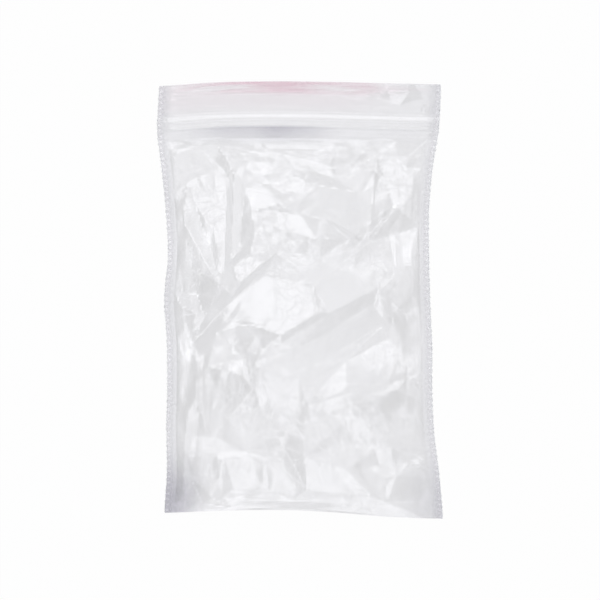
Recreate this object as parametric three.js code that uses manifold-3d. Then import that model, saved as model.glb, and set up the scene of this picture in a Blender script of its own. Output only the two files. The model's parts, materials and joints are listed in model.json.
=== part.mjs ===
// Grip-seal bag: clear polyethylene film, closed by a press-to-close zip, lying on its back.
// The bag is one piece of film: folded at the bottom, fused down both sides, with the zip's
// rib and hooks grown out of it. Millimetres, +Z up, width along X, mouth toward +Y.
import * as THREE from "three";
import { mergeVertices } from "three/addons/utils/BufferGeometryUtils.js";
import Module from "manifold-3d";

const wasm = await Module();
wasm.setup();

// The flat bag
const bagWidth = 100;
const bagHeight = 153;
const filmThickness = 0.05;
const weldWidth = 3.5;
const weldThickness = 0.12;
const weldGap = 0.02;
const foldInset = 0.1;

// The lips above the zip
const lipLength = 12.2;
const lipGap = 0.5;
const beadDepths = [4.6, 5.9];
const beadWidth = 0.6;
const beadHeight = 0.12;

// The zip: an arrow-shaped rib under the front film and two hooks on the back film
const bandWidth = 4.4;
const bandThickness = 0.14;
const bandCrown = 0.12;
const zipDepth = 1.2;
const zipFlare = 3;
const zipClearance = 0.1;
const stemWidth = 0.44;
const stemLength = 0.4;
const headWidth = 1.1;
const tipWidth = 0.3;
const hookWall = 0.28;
const hookChamfer = 0.12;
const crushedEnd = 0.35;
const zipBite = 0.3;

// How the bag lies: the air left in it, and how far its rim stands off the table
const puffHeight = 8;
const backSag = 4.6;
const sideLift = 2.8;
const bottomLift = 0.9;
const mouthLift = 1.1;
const sideRipple = 0.45;
const sideRipples = 4;
const creaseMargin = 3;

// How fully the curved outlines swell: 1 is a plain sine, less is fuller
const pillowAcross = 0.75;
const pillowAlong = 0.6;
const rimAlong = 0.8;

// Waves of the four edges, at even steps: millimetres off the straight edge, inward positive.
// The sides run from the bottom to the mouth, the bottom and the mouth from left to right.
const leftWave = [1.4, 2.3, 2.1, 2.5, 2.3, 1.4, 2.7, 2.0, 0.5, -1.2, -0.5];
const rightWave = [-0.5, 0.8, 2.7, 3.4, 3.4, 4.1, 4.5, 4.5, 3.3, 0.9, 0.2];
const bottomWave = [0.2, 0.9, 1.2, 0.4, -1.2, -1.9];
const mouthWave = [0.6, -0.7, -1.1, -0.9, -0.4, 0];

// Creases of the front film: stations of [x, y, rise] in millimetres from the middle of the
// flat bag. A rise below zero is a valley.
const creases = {
  shoulderLeft: [[-47, 50, 0.6], [-37, 57, 1.2]],
  valleyDiagonal: [[-38, -15, -1.2], [-24, 0, -2.4], [-8, 17, -1.2]],
  ridgeLong: [[-7, -15.5, 1.2], [10, -5, 2], [27, 4, 1.8], [35, -3, 0.8]],
  sidePleatRight: [[30, 11, 0.4], [43, 8.5, 1]],
  sidePleatLeft: [[-47, -1, 0.8], [-34, -6, 1.2]],
  valleyLong: [[-20, -21, -0.8], [-15, -38, -1.8], [-6, -53, -2], [2, -68, -1]],
  fleckLeft: [[-33, -24, 0.5], [-21, -27, 1]],
  fleckLower: [[-18, -26, 0.4], [-17, -32, 0.9]],
  stepLow: [[1, -56, 0.7], [16, -60.5, 1.3], [30, -66, 0.7]],
  cornerLeft: [[-41, -56, 0.8], [-32, -71, 1.6]],
  foldBottom: [[-28, -70.5, 1], [-3, -71.5, 1.4], [25, -70.5, 1.2]],
  curl: [[38, -58, 0.4], [46, -61, 1]],
};

// Flat plates of the front film: corners, rise at the middle, and how steeply and towards
// which side the plate faces, in degrees from the x axis.
const plates = {
  forehead: {
    corners: [[-22, -1], [-13, 8], [4, 5], [6, -5], [-7, -13], [-18, -9]],
    rise: 0.7, slope: 8, side: 130,
  },
  rightShoulder: {
    corners: [[27, 52], [44, 54], [46, 42], [33, 32]], rise: 0.6, slope: 8, side: 140,
  },
  leaf: { corners: [[-46, 37], [-40, 42], [-29, 5], [-35, 8]], rise: 0.8, slope: 8, side: 150 },
  leafMiddle: {
    corners: [[-31, 46], [-26, 44], [-27, 12], [-30, 14]], rise: 0.6, slope: 8, side: 150,
  },
  shelf: { corners: [[-14, 57], [12, 56], [13, 53], [-12, 53.5]], rise: 0.6, slope: 10, side: 100 },
  shelfBelow: { corners: [[-7, 52], [10, 48], [12, 43], [-4, 48]], rise: 0.3, slope: 9, side: 110 },
  crumpleUpper: {
    corners: [[-20, 39], [-12, 41], [-8, 33], [-17, 31]], rise: 0.6, slope: 9, side: 125,
  },
  crumpleMiddle: {
    corners: [[-10, 32], [0, 30], [6, 21], [-5, 24]], rise: 0.6, slope: 9, side: 140,
  },
  cheek: { corners: [[-24, 12], [-18, 16], [-13, 13], [-22, 5]], rise: 0.4, slope: 9, side: 120 },
  belly: {
    corners: [[16, -22], [31, -14], [38, -20], [30, -34], [16, -34]], rise: 0.3, slope: 7, side: 140,
  },
  gussetLeft: {
    corners: [[-27, -57], [-18, -56], [-14, -66], [-24, -68]], rise: 0.8, slope: 10, side: 130,
  },
  gussetMiddle: {
    corners: [[-13, -58], [-6, -59], [-1, -68], [-9, -69]], rise: 0.7, slope: 10, side: 140,
  },
  fin: { corners: [[16, -43], [24, -42], [26, -52], [18, -51]], rise: 0.6, slope: 10, side: 130 },
  arrow: { corners: [[26, -54], [32, -53], [33, -59], [28, -59]], rise: 0.5, slope: 10, side: 130 },
  sideRight: { corners: [[36, 24], [44, 26], [45, 12], [37, 12]], rise: 0.5, slope: 8, side: 120 },
  flankLeft: { corners: [[-46, 26], [-42, 28], [-37, 2], [-42, 2]], rise: 0.3, slope: 8, side: -60 },
  besideLeaf: {
    corners: [[-24, 44], [-21, 42], [-22, 17], [-25, 14]], rise: -0.3, slope: 8, side: -30,
  },
  underRidge: {
    corners: [[-2, -18], [26, -2], [30, -9], [4, -24]], rise: 0, slope: 9, side: -50,
  },
  hollow: { corners: [[2, 41], [20, 38], [24, 20], [10, 28]], rise: -0.2, slope: 6, side: -40 },
  lowerRight: {
    corners: [[34, -63], [46, -63], [46, -72], [31, -72]], rise: 0.4, slope: 10, side: -50,
  },
  lowerLeft: {
    corners: [[-43, -63], [-39, -64], [-35, -73], [-41, -74]], rise: 0.4, slope: 10, side: -40,
  },
};

// Stations stand this close along a crease, and this far apart on the plain film between
const creaseStep = 4;
const plainStep = 12;
const plainClearance = 6;

// How finely the film is faceted, the span over which its slope is measured,
// and how far the inner space is run past the mouth to cut it open
const columnCount = 25;
const bodyRowCount = 34;
const zipStepCount = 12;
const slopeSpan = 0.02;
const cutOverrun = 1;

// Worked out from the sizes above
const zipLineDepth = lipLength + bandWidth / 2;
const bodyTop = bagHeight - lipLength - bandWidth - zipFlare;
const hookPitch = headWidth / 2 + zipClearance + hookWall / 2;
const weldShare = weldWidth / bagWidth;
const sealHalf = weldThickness / 2;

function clamp01(value) {
  return THREE.MathUtils.clamp(value, 0, 1);
}

// The flat outline: a rectangle with waved edges, filled by a Coons patch

function wavedEdge(from, to, inward, wave) {
  const last = wave.length - 1;
  const points = wave.map((offset, i) =>
    from.clone().lerp(to, i / last).addScaledVector(inward, offset));
  return new THREE.SplineCurve(points);
}

const corner = (signX, signY) => new THREE.Vector2(signX * bagWidth / 2, signY * bagHeight / 2);
const leftEdge = wavedEdge(corner(-1, -1), corner(-1, 1), new THREE.Vector2(1, 0), leftWave);
const rightEdge = wavedEdge(corner(1, -1), corner(1, 1), new THREE.Vector2(-1, 0), rightWave);
const bottomEdge = wavedEdge(corner(-1, -1), corner(1, -1), new THREE.Vector2(0, 1), bottomWave);
const mouthEdge = wavedEdge(corner(-1, 1), corner(1, 1), new THREE.Vector2(0, -1), mouthWave);

// The plan position of the film at u across (left to right) and v up (bottom to mouth)
function planPoint(u, v) {
  const straight = new THREE.Vector2((u - 0.5) * bagWidth, (v - 0.5) * bagHeight);
  const sideways = (leftEdge.getPoint(clamp01(v)).x + bagWidth / 2) * (1 - u)
    + (rightEdge.getPoint(clamp01(v)).x - bagWidth / 2) * u;
  const upward = (bottomEdge.getPoint(clamp01(u)).y + bagHeight / 2) * (1 - v)
    + (mouthEdge.getPoint(clamp01(u)).y - bagHeight / 2) * v;
  return straight.add(new THREE.Vector2(sideways, upward));
}

// How the film stands: rim, pillow, zip, lips and creases

// 0 at either weld line, 1 in the middle
function across(u) {
  return Math.sin(Math.PI * clamp01((u - weldShare) / (1 - 2 * weldShare)));
}

// 0 at the bottom fold, 1 where the body of the bag gives way to the zip
function bodyShare(v) {
  return clamp01(v * bagHeight / bodyTop);
}

function rimHeight(v) {
  const ends = THREE.MathUtils.lerp(bottomLift, mouthLift, v);
  const ripple = sideRipple * Math.sin(2 * Math.PI * sideRipples * v);
  return ends + (sideLift - ends + ripple) * Math.sin(Math.PI * bodyShare(v)) ** rimAlong;
}

function pillow(u, v) {
  return across(u) ** pillowAcross * Math.sin(Math.PI * bodyShare(v)) ** pillowAlong;
}

// 1 over the zip's band, falling to 0 a flare's width above and below it
function nearZip(v) {
  const off = Math.abs((1 - v) * bagHeight - zipLineDepth) - bandWidth / 2;
  return 1 - THREE.MathUtils.smoothstep(off, 0, zipFlare);
}

// 1 between the welds; crushed thin in them, where the seal bar pressed the zip flat
function zipSpan(u) {
  const inWeld = clamp01(Math.min(u, 1 - u) / weldShare);
  return THREE.MathUtils.lerp(crushedEnd, 1, inWeld);
}

function lipOpening(u, v) {
  const aboveZip = clamp01(1 - (1 - v) * bagHeight / lipLength);
  return lipGap / 2 * Math.sqrt(across(u)) * aboveZip;
}

function beadRise(v) {
  const depth = (1 - v) * bagHeight;
  return beadDepths.some((at) => Math.abs(depth - at) < beadWidth / 4) ? beadHeight : 0;
}

// The band's back is slightly crowned over the two hooks
function crownRise(v) {
  const off = Math.abs((1 - v) * bagHeight - zipLineDepth);
  return Math.abs(off - hookPitch) < hookWall / 2 ? bandCrown : 0;
}

// A plate's outline, closed, each corner as high as the plate's tilt puts it
function plateOutline({ corners, rise, slope, side }) {
  const middleX = corners.reduce((sum, [x]) => sum + x, 0) / corners.length;
  const middleY = corners.reduce((sum, [, y]) => sum + y, 0) / corners.length;
  const turn = THREE.MathUtils.degToRad(side);
  const steepness = Math.tan(THREE.MathUtils.degToRad(slope));
  const outline = corners.map(([x, y]) => {
    const towards = (x - middleX) * Math.cos(turn) + (y - middleY) * Math.sin(turn);
    return [x, y, rise - towards * steepness];
  });
  return [...outline, outline[0]];
}

// Stations along a path, no further apart than a crease's step
function stationsAlong(path) {
  const stations = [path[0]];
  for (let i = 1; i < path.length; i += 1) {
    const from = new THREE.Vector3(...path[i - 1]);
    const to = new THREE.Vector3(...path[i]);
    const count = Math.ceil(from.distanceTo(to) / creaseStep);
    for (let k = 1; k <= count; k += 1) {
      stations.push(from.clone().lerp(to, k / count).toArray());
    }
  }
  return stations;
}

function isClear([x, y], stations, distance) {
  return stations.every(([otherX, otherY]) => Math.hypot(x - otherX, y - otherY) > distance);
}

function creaseStations() {
  const paths = [...Object.values(plates).map(plateOutline), ...Object.values(creases)];
  const stations = [];
  for (const station of paths.flatMap(stationsAlong)) {
    if (isClear(station, stations, creaseStep / 4)) {
      stations.push(station);
    }
  }
  const chosen = [...stations];
  for (let x = -bagWidth / 2; x <= bagWidth / 2 + plainStep; x += plainStep) {
    for (let y = -bagHeight / 2; y <= bagHeight / 2 + plainStep; y += plainStep) {
      if (isClear([x, y], chosen, plainClearance)) {
        stations.push([x, y, 0]);
      }
    }
  }
  return stations;
}

// The circle through three stations
function facetOver(a, b, c) {
  const [ax, ay] = a;
  const [bx, by] = [b[0] - ax, b[1] - ay];
  const [cx, cy] = [c[0] - ax, c[1] - ay];
  const twice = 2 * (bx * cy - by * cx);
  const x = (cy * (bx * bx + by * by) - by * (cx * cx + cy * cy)) / twice;
  const y = (bx * (cx * cx + cy * cy) - cx * (bx * bx + by * by)) / twice;
  return { corners: [a, b, c], x: ax + x, y: ay + y, radius: Math.hypot(x, y), twice };
}

// A net of flat facets over the stations: each station in turn opens the facets whose circle
// it falls in, and new facets join it to the rim of that opening
function facetNet(stations) {
  const far = 20 * bagHeight;
  const frame = [[-far, -far, 0], [far, -far, 0], [0, far, 0]];
  let net = [facetOver(...frame)];
  for (const station of stations) {
    const opened = net.filter(({ x, y, radius }) =>
      Math.hypot(station[0] - x, station[1] - y) < radius);
    const sides = opened.flatMap(({ corners: [a, b, c] }) => [[a, b], [b, c], [c, a]]);
    const rim = sides.filter(([a, b]) =>
      !sides.some(([otherA, otherB]) => otherA === b && otherB === a));
    net = net.filter((facet) => !opened.includes(facet));
    net.push(...rim.map(([a, b]) => facetOver(a, b, station)));
  }
  return net;
}

const net = facetNet(creaseStations());

// How high the net stands at a place on the plan
function creaseRise({ x, y }) {
  for (const { corners: [a, b, c], twice } of net) {
    const shareB = 2 * ((x - a[0]) * (c[1] - a[1]) - (y - a[1]) * (c[0] - a[0])) / twice;
    const shareC = 2 * ((b[0] - a[0]) * (y - a[1]) - (b[1] - a[1]) * (x - a[0])) / twice;
    if (shareB >= 0 && shareC >= 0 && shareB + shareC <= 1) {
      return a[2] + (b[2] - a[2]) * shareB + (c[2] - a[2]) * shareC;
    }
  }
  return 0;
}

// Creases fade out before the welds, the bottom fold and the zip
function creaseRoom(u, v) {
  const toWeld = Math.min(u, 1 - u) * bagWidth - weldWidth;
  const toBottom = v * bagHeight;
  const toZip = bodyTop - v * bagHeight;
  return clamp01(Math.min(toWeld, toBottom, toZip) / creaseMargin);
}

// Half the distance between the films' outer faces, before the air lifts them
function halfBuild(u, v) {
  const zipHalf = zipDepth / 2 + bandThickness;
  return THREE.MathUtils.lerp(sealHalf, zipHalf, nearZip(v) * zipSpan(u)) + lipOpening(u, v);
}

function backHeight(u, v) {
  return Math.max(0, rimHeight(v) - halfBuild(u, v) - backSag * pillow(u, v));
}

function relief(u, v) {
  return (beadRise(v) + crownRise(v)) * Math.sqrt(across(u));
}

function frontHeight(u, v) {
  const creased = creaseRise(planPoint(u, v)) * creaseRoom(u, v);
  const air = (puffHeight - sideLift) * pillow(u, v);
  const height = rimHeight(v) + halfBuild(u, v) + air + creased + relief(u, v);
  return Math.max(height, backHeight(u, v) + weldThickness);
}

// How far straight down the film reaches: its thickness over the steepness of its slope
function filmDrop(heightAt, u, v) {
  const step = slopeSpan / 2;
  const slopeX = (heightAt(u + step, v) - heightAt(u - step, v)) / (slopeSpan * bagWidth);
  const slopeY = (heightAt(u, v + step) - heightAt(u, v - step)) / (slopeSpan * bagHeight);
  const band = nearZip(v) === 1 ? bandThickness - filmThickness : 0;
  return filmThickness * Math.hypot(1, slopeX, slopeY) + band;
}

// The films' inner faces, a hair apart where they run into a weld

function frontInside(u, v) {
  const middle = (frontHeight(u, v) + backHeight(u, v)) / 2;
  const inner = frontHeight(u, v) - relief(u, v) - filmDrop(frontHeight, u, v);
  return Math.max(inner, middle + weldGap / 2);
}

function backInside(u, v) {
  const middle = (frontHeight(u, v) + backHeight(u, v)) / 2;
  const inner = backHeight(u, v) + filmDrop(backHeight, u, v);
  return Math.min(inner, middle - weldGap / 2);
}

// Stations across the bag, and up it from the bottom fold to the mouth

function columnStations() {
  const stations = [0];
  for (let i = 0; i <= columnCount; i += 1) {
    stations.push(THREE.MathUtils.lerp(weldShare, 1 - weldShare, i / columnCount));
  }
  stations.push(1);
  return stations;
}

function rowStations() {
  const depths = [0, beadDepths[0] / 2];
  for (const depth of beadDepths) {
    depths.push(depth - beadWidth / 2, depth, depth + beadWidth / 2);
  }
  depths.push(lipLength - zipFlare, lipLength);
  depths.push(zipLineDepth - hookPitch, zipLineDepth, zipLineDepth + hookPitch);
  depths.push(lipLength + bandWidth);
  const upper = depths.map((depth) => 1 - depth / bagHeight).reverse();
  const body = [];
  for (let i = 0; i <= bodyRowCount; i += 1) {
    body.push(bodyTop / bagHeight * i / bodyRowCount);
  }
  return body.concat(upper);
}

function surface(rows, columns, heightAt) {
  return rows.map((v) => columns.map((u) => {
    const plan = planPoint(u, v);
    return new THREE.Vector3(plan.x, plan.y, heightAt(u, v));
  }));
}

// Closed bodies

function toManifold(positions, triangles) {
  return new wasm.Manifold(new wasm.Mesh({
    numProp: 3,
    vertProperties: new Float32Array(positions),
    triVerts: new Uint32Array(triangles),
  }));
}

function toGeometry(solid) {
  const mesh = solid.getMesh();
  const geometry = new THREE.BufferGeometry();
  geometry.setAttribute("position", new THREE.BufferAttribute(mesh.vertProperties, 3));
  geometry.setIndex(new THREE.BufferAttribute(mesh.triVerts, 1));
  return geometry;
}

// The body between two surfaces that share their stations
function solidBetween(upper, lower) {
  const rowCount = upper.length;
  const columns = upper[0].length;
  const lastRow = rowCount - 1;
  const lastColumn = columns - 1;
  const positions = [...upper.flat(), ...lower.flat()].flatMap((point) => point.toArray());
  const top = (r, c) => r * columns + c;
  const under = (r, c) => (rowCount + r) * columns + c;
  const triangles = [];
  const quad = (a, b, c, d) => triangles.push(a, b, c, a, c, d);
  for (let r = 0; r < lastRow; r += 1) {
    for (let c = 0; c < lastColumn; c += 1) {
      quad(top(r, c), top(r, c + 1), top(r + 1, c + 1), top(r + 1, c));
      quad(under(r, c), under(r + 1, c), under(r + 1, c + 1), under(r, c + 1));
    }
    quad(top(r, 0), top(r + 1, 0), under(r + 1, 0), under(r, 0));
    quad(under(r, lastColumn), under(r + 1, lastColumn), top(r + 1, lastColumn), top(r, lastColumn));
  }
  for (let c = 0; c < lastColumn; c += 1) {
    quad(under(0, c), under(0, c + 1), top(0, c + 1), top(0, c));
    quad(top(lastRow, c), top(lastRow, c + 1), under(lastRow, c + 1), under(lastRow, c));
  }
  return toManifold(positions, triangles);
}

// The film's outside, and the space between its two inner faces, which runs out at the mouth

function outsideBody() {
  const rows = rowStations();
  const columns = columnStations();
  return solidBetween(surface(rows, columns, frontHeight), surface(rows, columns, backHeight));
}

function insideBody() {
  const rows = rowStations();
  const columns = columnStations().slice(1, -1);
  const faces = [frontInside, backInside].map((heightAt) => {
    const face = surface(rows, columns, heightAt);
    face[0].forEach((point) => { point.y += foldInset; });
    const beyond = face.at(-1).map((point) => point.clone().setY(point.y + cutOverrun));
    return [...face, beyond];
  });
  return solidBetween(faces[0], faces[1]);
}

// The zip's sections: s runs along the film toward the mouth, t from the film's inner face inward

function profile(points) {
  return new THREE.Shape(points.map(([s, t]) => new THREE.Vector2(s, t)));
}

function ribProfile() {
  const root = -bandThickness / 2;
  const reach = zipDepth - zipClearance;
  const half = [
    [stemWidth / 2, root],
    [stemWidth / 2, stemLength],
    [headWidth / 2, stemLength],
    [headWidth / 2, (stemLength + reach) / 2],
    [tipWidth / 2, reach],
  ];
  const mirrored = half.map(([s, t]) => [-s, t]).reverse();
  return profile([...half, ...mirrored]);
}

// One hook: its wall stands beside the rib's head, and its lip reaches in behind the barb
function hookProfile(side) {
  const root = -bandThickness / 2;
  const inner = headWidth / 2 + zipClearance;
  const outer = inner + hookWall;
  const lipUnder = zipDepth - stemLength + zipClearance;
  const lipTop = zipDepth - zipClearance;
  return profile([
    [side * inner, root],
    [side * outer, root],
    [side * outer, lipTop - hookChamfer],
    [side * (outer - hookChamfer), lipTop],
    [side * (stemWidth / 2 + zipClearance), lipTop],
    [side * (stemWidth / 2 + zipClearance), lipUnder],
    [side * inner, lipUnder],
  ]);
}

// A section run along the zip, from just inside one weld to just inside the other.
// Inward is -1 for what hangs from the front film, 1 for what stands on the back film.
function alongZip(section, inward) {
  const v = 1 - zipLineDepth / bagHeight;
  const length = bagWidth - 2 * weldWidth + 2 * zipBite;
  const bar = new THREE.ExtrudeGeometry(section, {
    depth: length,
    steps: zipStepCount,
    bevelEnabled: false,
  });
  bar.deleteAttribute("normal");
  bar.deleteAttribute("uv");
  const swept = mergeVertices(bar);
  const position = swept.getAttribute("position");
  const vertex = new THREE.Vector3();
  for (let i = 0; i < position.count; i += 1) {
    vertex.fromBufferAttribute(position, i);
    const along = (weldWidth - zipBite + vertex.z) / bagWidth;
    const plan = planPoint(along, v);
    const filmFace = rimHeight(v) - inward * zipDepth / 2;
    position.setXYZ(i, plan.x, plan.y + inward * vertex.x, filmFace + inward * vertex.y);
  }
  return toManifold(position.array, swept.index.array);
}

// The bag

function bagSolid() {
  return outsideBody()
    .subtract(insideBody())
    .add(alongZip(ribProfile(), -1))
    .add(alongZip(hookProfile(-1), 1))
    .add(alongZip(hookProfile(1), 1));
}

function centredOnTable(geometry) {
  geometry.computeBoundingBox();
  const { min, max } = geometry.boundingBox;
  return geometry.translate(-(min.x + max.x) / 2, -(min.y + max.y) / 2, -min.z);
}

const film = new THREE.MeshStandardMaterial({ color: 0xe8e9ee, roughness: 0.12, metalness: 0 });
const bag = new THREE.Mesh(centredOnTable(toGeometry(bagSolid())), film);
bag.name = "film_bag";

const zipperBag = new THREE.Group();
zipperBag.name = "zipper_bag";
zipperBag.add(bag);

export default zipperBag;
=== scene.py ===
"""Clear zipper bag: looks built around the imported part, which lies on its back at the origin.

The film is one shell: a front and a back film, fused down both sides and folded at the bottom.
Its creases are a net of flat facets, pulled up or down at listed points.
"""
import json

import bpy
import numpy as np
from bpy.props import FloatProperty, FloatVectorProperty, IntProperty, PointerProperty
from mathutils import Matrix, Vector
from mathutils.geometry import delaunay_2d_cdt

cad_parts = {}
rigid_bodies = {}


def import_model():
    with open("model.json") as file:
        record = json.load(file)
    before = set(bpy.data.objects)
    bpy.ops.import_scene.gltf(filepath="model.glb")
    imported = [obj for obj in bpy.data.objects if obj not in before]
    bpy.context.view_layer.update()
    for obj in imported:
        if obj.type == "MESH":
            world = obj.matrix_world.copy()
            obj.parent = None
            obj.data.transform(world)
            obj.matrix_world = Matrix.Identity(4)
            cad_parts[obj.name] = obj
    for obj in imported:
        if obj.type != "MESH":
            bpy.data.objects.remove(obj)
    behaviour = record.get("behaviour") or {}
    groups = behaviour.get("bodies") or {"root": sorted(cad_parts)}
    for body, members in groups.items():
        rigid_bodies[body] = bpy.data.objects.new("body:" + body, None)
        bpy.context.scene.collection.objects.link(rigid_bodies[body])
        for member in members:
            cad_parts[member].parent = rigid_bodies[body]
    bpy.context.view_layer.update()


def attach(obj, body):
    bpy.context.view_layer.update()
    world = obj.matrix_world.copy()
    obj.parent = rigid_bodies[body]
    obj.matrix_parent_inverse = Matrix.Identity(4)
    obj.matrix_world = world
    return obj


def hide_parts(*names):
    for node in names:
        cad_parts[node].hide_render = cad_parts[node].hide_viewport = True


bl_info = {
    "name": "Clear zipper bag",
    "version": (1, 0, 0),
    "blender": (4, 5, 0),
    "location": "View3D > Sidebar > Zipper bag",
    "description": "Builds a clear zipper bag of creased film around its packed solid",
    "category": "Object",
}

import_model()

MM = 0.001

# Waves of the bag's four edges, at even steps, in millimetres off the straight edge, inward
# positive. The sides run from the bottom to the mouth, the other two from left to right.
LEFT_WAVE = (1.4, 2.3, 2.1, 2.5, 2.3, 1.4, 2.7, 2.0, 0.5, -1.2, -0.5)
RIGHT_WAVE = (-0.5, 0.8, 2.7, 3.4, 3.4, 4.1, 4.5, 4.5, 3.3, 0.9, 0.2)
BOTTOM_WAVE = (0.2, 0.9, 1.2, 0.4, -1.2, -1.9)
MOUTH_WAVE = (0.6, -0.7, -1.1, -0.9, -0.4, 0.0)

# What each face of the film lets through, what share of the light it mirrors head on, the colour
# of what it mirrors and how rough the mirror is.
CLEAR_TINT = (0.961, 0.9605, 0.9642)
MIRROR = 0.068
MIRROR_COLOUR = (0.97, 0.97, 0.98)
MIRROR_ROUGHNESS = 0.07

# The sealing bar's teeth stand this far apart along the cut sides, in millimetres.
TOOTH_PITCH = 2.0

# Creases of the front film: stations of (x, y, rise) in millimetres from the bag's middle.
# A rise below zero is a valley.
CREASES = {
    "valley diagonal": ((-38, -15, -0.9), (-24, 0, -1.5), (-8, 17, -0.8)),
    "ridge long": ((-7, -15.5, 1.2), (10, -5, 2.0), (27, 4, 1.8)),
    "ridge end": ((27, 4, 1.8), (35, -3, 0.8)),
    "side pleat right": ((30, 11, 0.4), (43, 8.5, 1.0)),
    "side pleat left": ((-47, -1, 0.8), (-34, -6, 1.2)),
    "valley long": ((-20, -21, -0.6), (-15, -38, -1.2), (-6, -53, -1.2), (2, -68, -0.6)),
    "fleck left": ((-33, -24, 0.5), (-21, -27, 1.0)),
    "fleck lower": ((-18, -26, 0.4), (-17, -32, 0.9)),
    "step low": ((1, -56, 0.7), (16, -60.5, 1.3), (30, -66, 0.7)),
    "corner left": ((-41, -56, 0.8), (-32, -71, 1.6)),
    "fold bottom": ((-28, -70.5, 1.0), (-3, -71.5, 1.4), (25, -70.5, 1.2)),
    "curl": ((38, -58, 0.4), (46, -61, 1.0)),
}

# Flat plates of the front film: corners in millimetres, rise at the middle, and how steeply and
# towards which side the plate faces, in degrees from the x axis.
PLATES = {
    "shoulder left": (((-48, 49), (-46, 52), (-37, 58), (-36, 55)), 0.6, 3.0, 135),
    "forehead": (((-22, -1), (-13, 8), (4, 5), (6, -5), (-7, -13), (-18, -9)), 0.7, 13.0, 120),
    "right shoulder": (((27, 52), (44, 54), (46, 42), (33, 32)), 0.6, 10.0, 56),
    "leaf": (((-46, 37), (-40, 42), (-29, 5), (-35, 8)), 0.8, 6.0, 100),
    "leaf middle": (((-31, 46), (-26, 44), (-27, 12), (-30, 14)), 0.6, 7.0, 120),
    "shelf": (((-14, 57), (12, 56), (13, 53), (-12, 53.5)), 0.6, 12.0, 88),
    "shelf below": (((-7, 52), (10, 48), (12, 43), (-4, 48)), 0.3, 9.0, 13),
    "crumple a": (((-20, 39), (-12, 41), (-8, 33), (-17, 31)), 0.6, 8.0, 143),
    "crumple b": (((-10, 32), (0, 30), (6, 21), (-5, 24)), 0.6, 9.0, 160),
    "cheek": (((-24, 12), (-18, 16), (-13, 13), (-22, 5)), 0.4, 8.0, 126),
    "belly": (((16, -22), (31, -14), (38, -20), (30, -34), (16, -34)), 0.3, 7.0, 60),
    "gusset a": (((-27, -57), (-18, -56), (-14, -66), (-24, -68)), 0.8, 7.0, -88),
    "gusset b": (((-13, -58), (-6, -59), (-1, -68), (-9, -69)), 0.7, 5.0, -110),
    "fin": (((16, -43), (24, -42), (26, -52), (18, -51)), 0.6, 10.0, -132),
    "arrow": (((26, -54), (32, -53), (33, -59), (28, -59)), 0.5, 12.0, -127),
    "side right": (((36, 24), (44, 26), (45, 12), (37, 12)), 0.5, 8.0, 120),
    "flank left": (((-46, 26), (-42, 28), (-37, 2), (-42, 2)), 0.3, 8.0, -60),
    "beside leaf": (((-24, 44), (-21, 42), (-22, 17), (-25, 14)), -0.3, 8.0, -30),
    "under ridge": (((-2, -18), (26, -2), (30, -9), (4, -24)), 0.0, 6.0, -50),
    "hollow": (((2, 41), (20, 38), (24, 20), (10, 28)), -0.2, 6.0, -40),
    "lower right": (((34, -63), (46, -63), (46, -72), (31, -72)), 0.4, 10.0, -50),
    "lower left": (((-43, -63), (-39, -64), (-35, -73), (-41, -74)), 0.4, 10.0, -40),
}

# Regions of fine crumples on the front film, in millimetres: centre, size, spacing, rise, the
# angle of the line along which they are drawn out, and how far.
CRUMPLED = (
    ((-4, 30), (26, 24), 3.4, 0.50, 40, 2.0),
    ((-38, 46), (20, 16), 3.0, 0.40, 120, 2.5),
    ((-40, 24), (16, 26), 3.6, 0.35, 110, 3.0),
    ((30, 40), (24, 22), 4.0, 0.55, 60, 2.2),
    ((0, 50), (44, 10), 3.2, 0.45, 5, 3.5),
    ((-20, -8), (26, 20), 3.6, 0.45, 35, 2.5),
    ((16, -4), (30, 18), 4.4, 0.45, 38, 2.5),
    ((38, 6), (16, 40), 3.4, 0.55, 80, 1.8),
    ((20, -30), (32, 24), 4.2, 0.40, 38, 2.2),
    ((-24, -32), (26, 30), 4.4, 0.45, 72, 3.5),
    ((-14, -60), (36, 18), 3.6, 0.42, 10, 1.8),
    ((28, -56), (28, 22), 3.8, 0.42, 140, 2.0),
    ((-43, -20), (14, 60), 3.4, 0.60, 95, 2.2),
    ((4, -48), (24, 14), 4.0, 0.30, 150, 2.0),
)

# The crumple at the lip's right end, in the same terms.
LIP_CRUMPLE = ((42, 70), (24, 12), 4, 2.1, 15, 1.6)

# Crumples that run over a whole film, in the terms of a region's last four.
PLAIN_CRUMPLES = (8, 0.35)
LIP_FOLDS = (2.6, 0.25, 2, 7)
BACK_FOLDS = (13, 1.8, 60, 1.6)
BACK_CRUMPLES = (5, 0.5)

# How much of the front film's crumples is kept, and how much of that the plates calm.
CRUMPLE_SHARE = 0.88
PLATE_CALM = 0.8

# How far a chance station may lie off its grid, as a share of the grid's spacing.
SHAKE = 0.42

# Chance stations between the named creases, in millimetres: how far apart, how high, and how far
# they stay from a crease.
PLAIN_SPACING = 12
PLAIN_RISE = 0.35
PLAIN_CLEARANCE = 6

# Rows of the film's mesh stand this close over the zip and the lip, in millimetres. The back film
# keeps this share of its triangles inside its rim, and creases sharper than this angle, in
# radians, stay sharp.
ZIP_ROW = 0.28
BACK_SHARE = 0.12
CREASE_ANGLE = 0.012

# Half of each section of the closed zip, seen from the left, in millimetres from its middle
# towards the mouth and up: the rib's neck and arrow-shaped head, and the hook that grips it. On
# the lip's side the flanges are cut this much shorter, and they lie this far off the films.
RIB_NECK = 0.22
RIB_HEAD = ((0.22, 0.2), (0.55, 0.2), (0.15, -0.45))
HOOK_WALL = (0.65, 0.93)
HOOK_TIP = ((0.93, 0.3), (0.8, 0.42), (0.4, 0.42), (0.4, 0.27), (0.65, 0.27))
FLANGE_CUT = 0.95
ZIP_CLEARANCE = 0.01
ZIP_STATIONS = 120
ZIP_SMOOTH_ANGLE = 0.6

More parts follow.
